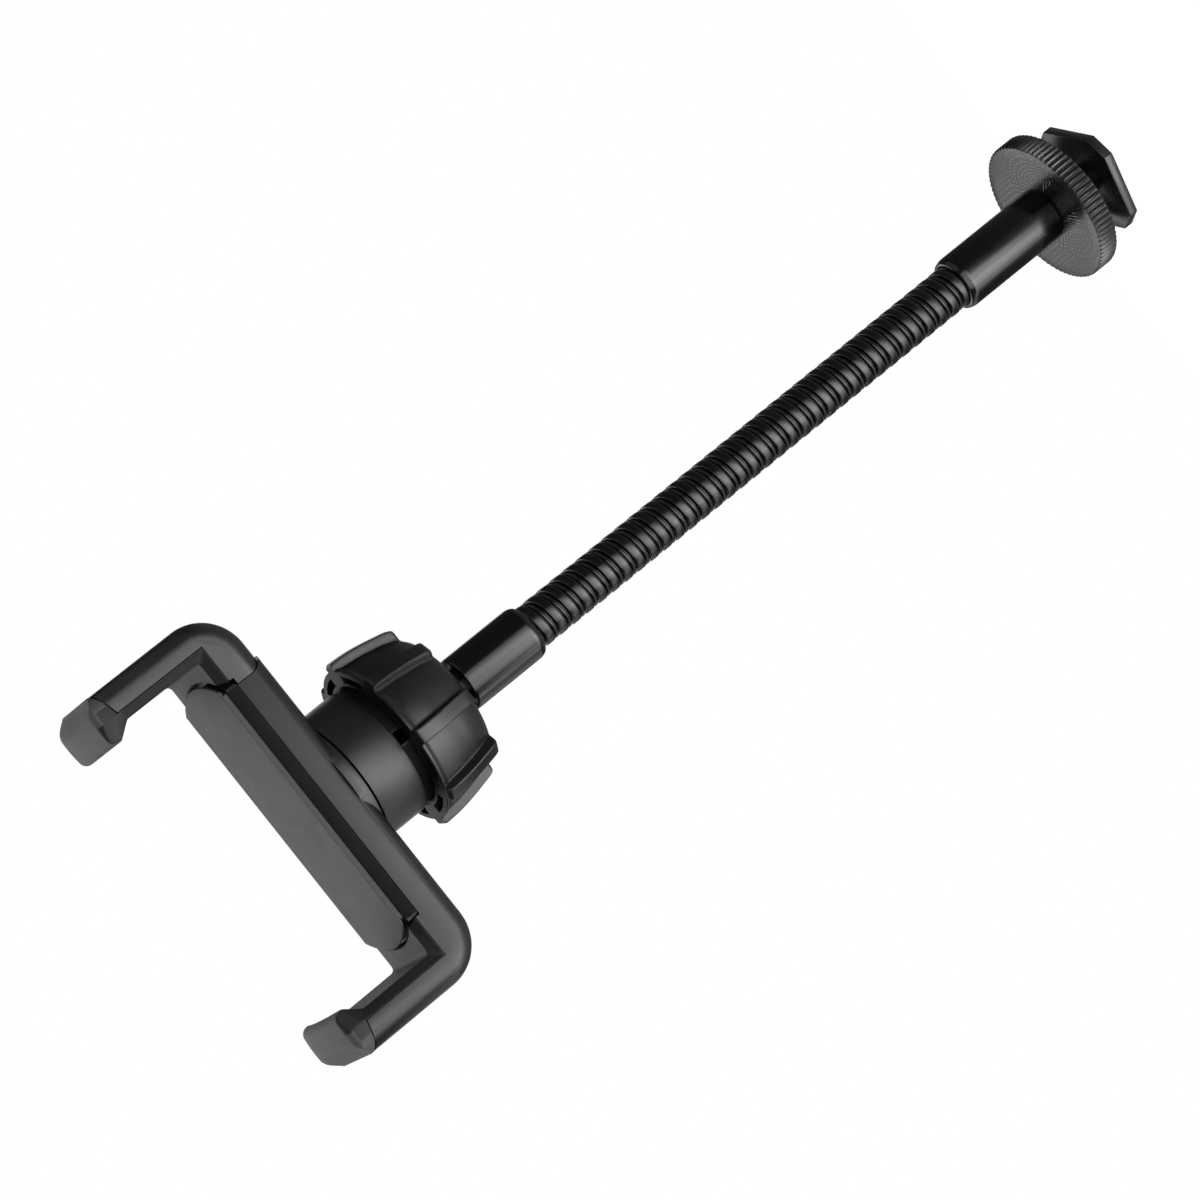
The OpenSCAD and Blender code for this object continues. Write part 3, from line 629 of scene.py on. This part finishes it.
def bowSplit(bm):
    # the parting line between housing and jaw bows outwards over the back's rounded edge
    for v in bm.verts:
        x, y, z = v.co / mm
        if abs(x - clamp["splitX"]) < 0.1:
            share = max(0.0, min(1.0, (clamp["filletTop"] - z) / (clamp["filletTop"] - clamp["backHeight"])))
            v.co.x += (clamp["splitShift"] + clamp["splitBow"] * share * share) * mm


# floor: the part under the pad; seam: where fingertip and hard arm meet; crown: the tip's radius in depth;
# fillStart, gapStart, slopeStart: depths from the middle where the rounding, the groove and the slope begin
liner = {"floorLow": 184.4, "floorTop": 186.15, "thick": 1.7, "armThick": 6.6, "seamLow": 202.12,
         "seamRise": 1.3, "tip": 206.7, "tipDome": 0.4, "chamferWide": 3.3, "chamferTall": 3.1, "crown": 60.0,
         "endRound": 1.5, "hook": 2.2, "hookRound": 1.3, "hookFoot": 200.95, "fillet": 3.2, "fillStart": 8.3,
         "slopeStart": 10.2, "gap": 0.08, "gapStart": 9.3}


def linerSlice(y, face, shift):
    # outline of a liner and its fingertip at one depth, as distance from the neck line and height
    a = abs(y)
    inner = face + liner["thick"]
    full = outer = face + liner["armThick"]
    if a > liner["fillStart"]:
        outer -= liner["fillet"] - sqrt(max(0.0, liner["fillet"] ** 2 - (a - liner["fillStart"]) ** 2))
    tip = liner["tip"] + shift - (liner["crown"] - sqrt(liner["crown"] ** 2 - a * a))
    r = liner["endRound"]
    over = a - (clamp["halfWidth"] - r)
    if over > 0:
        tip -= 0.75 * (r - sqrt(max(0.0, r * r - over * over)))
    end = face - liner["hook"]
    middle, half = (end + full) / 2, (full - end) / 2

    def topAt(x):
        dome = tip + liner["tipDome"] * (1 - ((x - middle) / half) ** 2) - 0.12
        past = (x - (full - liner["chamferWide"])) / liner["chamferWide"]
        slant = liner["tip"] + shift + 0.1 - liner["chamferTall"] * past
        soft = 0.35   # blends the chamfer into the dome
        h = max(0.0, min(1.0, 0.5 + 0.5 * (slant - dome) / soft))
        return slant * (1 - h) + dome * h - soft * h * (1 - h)

    def seamAt(x):
        return liner["seamLow"] + shift + liner["seamRise"] * (x - inner) / (full - inner)

    count = 14
    top = []
    for i in range(count + 1):
        t = i / count
        x = outer + (end + liner["hookRound"] - outer) * t
        top.append((x, max(topAt(x), seamAt(outer) + 0.5) if i == 0 else topAt(x)))
    q = liner["hookRound"]
    for i in range(1, 7):
        w = pi / 2 * i / 6
        x = end + q - q * sin(w)
        top.append((x, topAt(x) - q * (1 - cos(w))))
    start = clamp["padHalf"] - clamp["padRadius"] + sqrt((clamp["padRadius"] + 0.5) ** 2 - a * a)
    start = max(start, clamp["splitX"] + clamp["splitShift"])
    floor = liner["floorTop"]
    gap = liner["gap"] if a > liner["gapStart"] else -liner["gap"]   # a groove only along the two sides
    shut = 0.2 if a < clamp["halfWidth"] - 0.4 else 0.0   # the seam's groove is only as deep as this
    under, ledge, hookFoot = liner["floorLow"] + gap, seamAt(outer), liner["hookFoot"] + shift
    path = [(start, under), (inner - gap, under), (inner - gap, seamAt(inner) - shut),
            (outer - 0.5, seamAt(outer - 0.5) - shut), (outer - 0.45, ledge), (outer - 0.12, ledge),
            (outer, ledge + 0.14)]
    path += top
    path += [(end, topAt(end) - q - 0.35), (end + 0.15, topAt(end) - q - 0.7), (face - 0.2, hookFoot + 0.25),
             (face, hookFoot - 0.15), (face, floor + 0.8), (face - 0.1, floor + 0.45),
             (face - 0.3, floor + 0.2), (face - 0.55, floor + 0.07), (face - 0.9, floor),
             (start + 0.15, floor), (start, floor - 0.15)]
    # towards the two sides the gripping face closes in on the back of the liner
    k = max(0.0, (a - liner["slopeStart"]) / (clamp["halfWidth"] - liner["slopeStart"])) * 0.96
    out = []
    for x, z in path:
        if z > floor + 0.81:
            out.append((x if x > inner else x + k * (inner - gap - x), z))
        else:
            deep = max(0.0, min(1.0, (x - (face - 0.9)) / 0.9)) if z > under else 0.0
            out.append((x + k * deep * (inner - gap - x), z + k * (under - z)))
    return out


def buildLiner(name, node, side, face, body, shift):
    # slices from one side to the other, closed at both ends; dense where the sides slope
    w = clamp["halfWidth"] - 0.02
    depths = [0, 2.5, 5, 7, 8.3, 9.0, 9.6, 10.0, 10.15, 10.25, 10.4, 10.7, 11.0, 11.25, 11.4, w]
    depths = [-d for d in reversed(depths[1:])] + depths
    points, faces = [], []
    for y in depths:
        points += [(side * x, y, z) for x, z in linerSlice(y, face, shift)]
    n = len(linerSlice(0, face, shift))
    for i in range(len(depths) - 1):
        for k in range(n):
            j = (k + 1) % n
            faces.append((i * n + k, i * n + j, (i + 1) * n + j, (i + 1) * n + k))
    faces.append(list(range(n))[::-1])
    faces.append([(len(depths) - 1) * n + k for k in range(n)])
    # the liners take the rubber painted greyer (painted light), and on their sloping sides the one painted
    # darker (painted shade)
    back, slope = face + liner["thick"] - 0.02, liner["slopeStart"] + 0.1
    finishPiece(name, meshFrom(name, points, faces), paintedLightRubber, body, [node], smooth=30,
                second=paintedShadeRubber, isSecond=lambda c,
                normal: abs(c.y) > slope and side * c.x < back and abs(normal.y) > 0.3)


def slopeCover(bm):
    # the cover's long edges are cut off at a slant
    for v in bm.verts:
        x, y, z = v.co / mm
        if z > clamp["coverTop"] - 0.2 and abs(y) > clamp["halfWidth"] - 0.4:
            v.co.y -= (1 if y > 0 else -1) * clamp["coverSlope"] * mm
        if x > 15:   # the end at the jaw moves with the parting line
            v.co.x += clamp["splitShift"] * mm


def padRing(inset, z):
    # the pad's outline, two round ends cut off by its straight sides, at one height
    r = clamp["padRadius"] - inset
    middle = clamp["padHalf"] - clamp["padRadius"]
    wide = clamp["padWidth"] / 2 - inset
    end = asin(wide / r)
    ring = []
    for side, start in ((1, 0), (-1, pi)):
        for i in range(33):
            a = start - end + 2 * end * i / 32
            ring.append((side * middle + r * cos(a), r * sin(a), z))
    return ring


def buildPad():
    # a thin lip over a narrower base, so a dark line runs round it
    top, low = clamp["padTop"], clamp["coverTop"]
    under = top - clamp["padLip"]
    inset = clamp["padInset"]
    rows = [(inset, low), (inset, under - 0.12), (inset - 0.1, under - 0.02), (0.14, under),
            (0.03, under + 0.06), (0.0, under + 0.14), (0.02, top - 0.12), (0.08, top - 0.04), (0.2, top)]
    points, faces = [], []
    for d, z in rows:
        points += padRing(d, z)
    w = len(padRing(0, 0))
    for i in range(len(rows) - 1):
        for k in range(w):
            j = (k + 1) % w
            faces.append((i * w + k, i * w + j, (i + 1) * w + j, (i + 1) * w + k))
    faces.append(list(range(w))[::-1])
    faces.append([(len(rows) - 1) * w + k for k in range(w)])
    # the pad takes the rubber painted a shade greyer: painted light on its top
    finishPiece("padSheet", meshFrom("padSheet", points, faces), paintedLightRubber, "clamp", ["pad"],
                smooth=35)


def buildClamp():
    seam = clamp["seam"]

    def shapeBack(bm):
        bowSplit(bm)
        reachArm(bm, clamp["fixedShift"])

    def shapeJaw(bm):
        bowSplit(bm)
        reachArm(bm, clamp["jawShift"])

    def atDisc(x, y, z):
        # the edge of the disc that stands on the collar
        return abs(z - clamp["backHeight"]) < 0.15 and sqrt(x * x + y * y) > joint["collarRadius"]

    back = cadCopy("back_shell", "backShell", 0.18, shrink=seam, shape=shapeBack, widths=[(0.3, atDisc)])
    finishPiece("backShell", back, sparked, "clamp", ["back_shell"], smooth=24)
    finishPiece("frontCover", cadCopy("front_cover", "frontCover", 0.15, shrink=seam, shape=slopeCover),
                coverAbs, "clamp", ["front_cover"], smooth=24)
    buildPad()
    finishPiece("jawShell", cadCopy("jaw", "jawShell", 0.15, shrink=seam, shape=shapeJaw), sparked, "jaw",
                ["jaw"], smooth=24)
    buildLiner("fixedLiner", "fixed_liner", -1, clamp["fixedFace"], "clamp", clamp["fixedShift"])
    buildLiner("jawLiner", "jaw_liner", 1, clamp["jawFace"], "jaw", clamp["jawShift"])


buildClamp()
print("clamp made")

# what stays hidden inside keeps the CAD's shape
for node, material in (("socket_screws", oxide), ("cover_screws", oxide), ("jaw_spring", wire)):
    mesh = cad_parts[node].data
    mesh.materials.clear()
    mesh.materials.append(material)

# the stage's sizes are in metres
stageLook = {"floorHeight": -0.45, "floorRadius": 0.9, "floorSides": 96, "floorColour": "#b0b0b0",
             "floorGlow": 0.85, "roomColour": "#464646", "behindColour": "#626262"}


def buildStage():
    z, r, sides = stageLook["floorHeight"], stageLook["floorRadius"], stageLook["floorSides"]
    ring = [(r * cos(2 * pi * i / sides), r * sin(2 * pi * i / sides), z) for i in range(sides)]
    mesh = bpy.data.meshes.new("floor")
    mesh.from_pydata(ring, [], [list(range(sides))])
    floor = bpy.data.objects.new("floor", mesh)
    scene.collection.objects.link(floor)
    mat = bpy.data.materials.new("whitePaperFloor")
    mat.use_nodes = True
    tree = mat.node_tree
    tree.nodes.clear()
    path = addNode(tree, "ShaderNodeLightPath")
    seen = addNode(tree, "ShaderNodeMath", {0: path.outputs["Is Camera Ray"],
                   1: path.outputs["Is Transmission Ray"]}, operation="MAXIMUM")
    glow = addNode(tree, "ShaderNodeMath", {0: seen.outputs[0], 1: stageLook["floorGlow"]},
                   operation="MULTIPLY")
    shade = addNode(tree, "ShaderNodeBsdfDiffuse", {"Color": linear(stageLook["floorColour"])})
    light = addNode(tree, "ShaderNodeEmission", {"Color": (1, 1, 1, 1), "Strength": glow.outputs[0]})
    both = addNode(tree, "ShaderNodeAddShader", {0: shade.outputs[0], 1: light.outputs[0]})
    addNode(tree, "ShaderNodeOutputMaterial", {"Surface": both.outputs[0]})
    mesh.materials.append(mat)
    # a white backdrop for the camera and, straight behind the object, for reflections; a dark room elsewhere
    world = bpy.data.worlds.new("studio")
    scene.world = world
    world.use_nodes = True
    tree = world.node_tree
    tree.nodes.clear()
    path = addNode(tree, "ShaderNodeLightPath")
    way = addNode(tree, "ShaderNodeTexCoord")
    split = addNode(tree, "ShaderNodeSeparateXYZ", {"Vector": way.outputs["Generated"]})
    behind = addNode(tree, "ShaderNodeMapRange", {"Value": split.outputs["Y"], "From Min": 0.0,
                     "From Max": 0.6, "To Min": 0.0, "To Max": 1.0})
    aloft = addNode(tree, "ShaderNodeMapRange", {"Value": split.outputs["Z"], "From Min": -0.1,
                    "From Max": 0.25, "To Min": 0.0, "To Max": 1.0})
    lit = addNode(tree, "ShaderNodeMath", {0: behind.outputs[0], 1: aloft.outputs[0]}, operation="MULTIPLY")
    tone = addNode(tree, "ShaderNodeMix", {0: lit.outputs[0], 6: linear(stageLook["roomColour"]),
                   7: linear(stageLook["behindColour"])}, data_type="RGBA")
    paper = addNode(tree, "ShaderNodeMath", {0: split.outputs["Y"], 1: 0.86}, operation="GREATER_THAN")
    low = addNode(tree, "ShaderNodeMath", {0: split.outputs["Z"], 1: 0.12}, operation="LESS_THAN")
    patch = addNode(tree, "ShaderNodeMath", {0: paper.outputs[0], 1: low.outputs[0]}, operation="MULTIPLY")
    bounced = addNode(tree, "ShaderNodeMath", {0: path.outputs["Is Glossy Ray"],
                      1: path.outputs["Is Transmission Ray"]}, operation="MAXIMUM")
    shown = addNode(tree, "ShaderNodeMath", {0: patch.outputs[0], 1: bounced.outputs[0]},
                    operation="MULTIPLY")
    white = addNode(tree, "ShaderNodeMath", {0: path.outputs["Is Camera Ray"], 1: shown.outputs[0]},
                    operation="MAXIMUM")
    room = addNode(tree, "ShaderNodeBackground", {"Color": tone.outputs[2], "Strength": 1.0})
    plain = addNode(tree, "ShaderNodeBackground", {"Color": (1, 1, 1, 1), "Strength": 1.0})
    pick = addNode(tree, "ShaderNodeMixShader", {0: white.outputs[0], 1: room.outputs[0],
                   2: plain.outputs[0]})
    addNode(tree, "ShaderNodeOutputWorld", {"Surface": pick.outputs[0]})


def addPanel(name, azimuth, height, distance, width, tall, brightness, target=(0, 0, 0.11)):
    # azimuth and height in degrees, azimuth from -Y towards -X; brightness is the panel's own radiance
    data = bpy.data.lights.new(name, "AREA")
    data.shape = "RECTANGLE"
    data.size = width
    data.size_y = tall
    data.energy = brightness * pi * width * tall
    lamp = bpy.data.objects.new(name, data)
    scene.collection.objects.link(lamp)
    a, e = radians(azimuth), radians(height)
    spot = Vector(target) + Vector((-sin(a) * cos(e), -cos(a) * cos(e), sin(e))) * distance
    lamp.location = spot
    lamp.rotation_euler = (Vector(target) - spot).to_track_quat("-Z", "Y").to_euler()


buildStage()
# one soft light wall left of the camera, brighter towards its middle and low down;
# dim ones at the sides, one behind
addPanel("keyPanel", 16, 0, 0.8, 1.24, 1.11, 1.6, (0, 0, 0.195))
addPanel("middlePanel", 20, 0, 0.79, 0.64, 1.15, 0.9, (0, 0, 0.175))
addPanel("lowPanel", 42, 0, 0.78, 2.0, 0.28, 1.4, (0, 0, -0.3))
addPanel("lowInnerPanel", 40, 0, 0.77, 1.04, 0.26, 1.5, (0, 0, -0.31))
addPanel("lowHotPanel", 42, 0, 0.76, 0.38, 0.25, 1.8, (0, 0, -0.315))
addPanel("edgePanel", 112, 0, 0.85, 1.06, 0.34, 0.55, (0, 0, -0.08))
addPanel("sidePanel", -72, 8, 0.9, 1.1, 0.8, 0.3, (0, 0, 0.2))
addPanel("backPanel", 180, 45, 0.9, 1.4, 0.8, 1.9)

# place in metres, turn in degrees
view = {"lens": 168.025, "place": (0.02856468, -0.87037439, 0.45568525),
        "turn": (-58.63406443, 46.473995, -154.03655039)}
lensData = bpy.data.cameras.new("photoCamera")
lensData.lens = view["lens"]
lensData.sensor_width = 36
lensData.sensor_fit = "HORIZONTAL"
lensData.clip_start = 0.05
photoCamera = bpy.data.objects.new("photoCamera", lensData)
photoCamera.location = view["place"]
photoCamera.rotation_euler = [radians(v) for v in view["turn"]]
scene.collection.objects.link(photoCamera)
scene.camera = photoCamera
scene.view_settings.view_transform = "Standard"
print("stage set")
